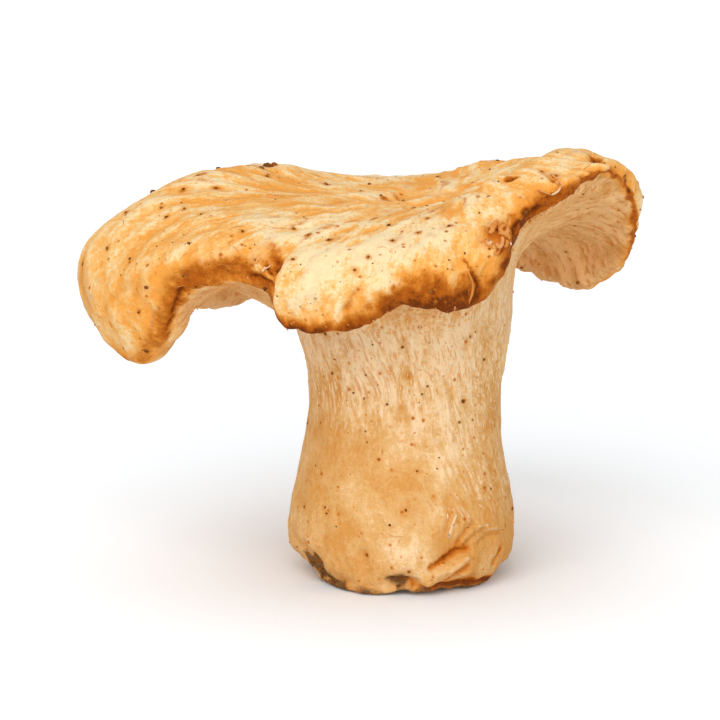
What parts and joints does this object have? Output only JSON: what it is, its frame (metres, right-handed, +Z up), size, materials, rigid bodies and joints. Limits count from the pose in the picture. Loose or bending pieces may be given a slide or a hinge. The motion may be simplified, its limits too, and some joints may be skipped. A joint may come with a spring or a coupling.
{
  "type": "hedgehog mushroom",
  "caption": "Stout hedgehog mushroom standing on its cut foot, with a lobed tan cap, drooping edges, short spines underneath and a cream stem.",
  "frame": {"origin": "middle of the stem's flat cut foot, on the surface that it stands on", "axes": "+Z up along the stem, +X to the right, towards the raised lobe, and -Y to the front, towards the scalloped edge"},
  "size_m": [0.0848, 0.0667, 0.0656],
  "materials": {
    "cap_skin": "dry, suede-like fungus skin, tan with cream and brown streaks",
    "spines": "soft matte cream spines under the cap",
    "soil": "dark, dull crumbs of forest soil"
  },
  "bodies": {
    "root": {"mushroom": "cap_skin"}
  },
  "joints": []
}
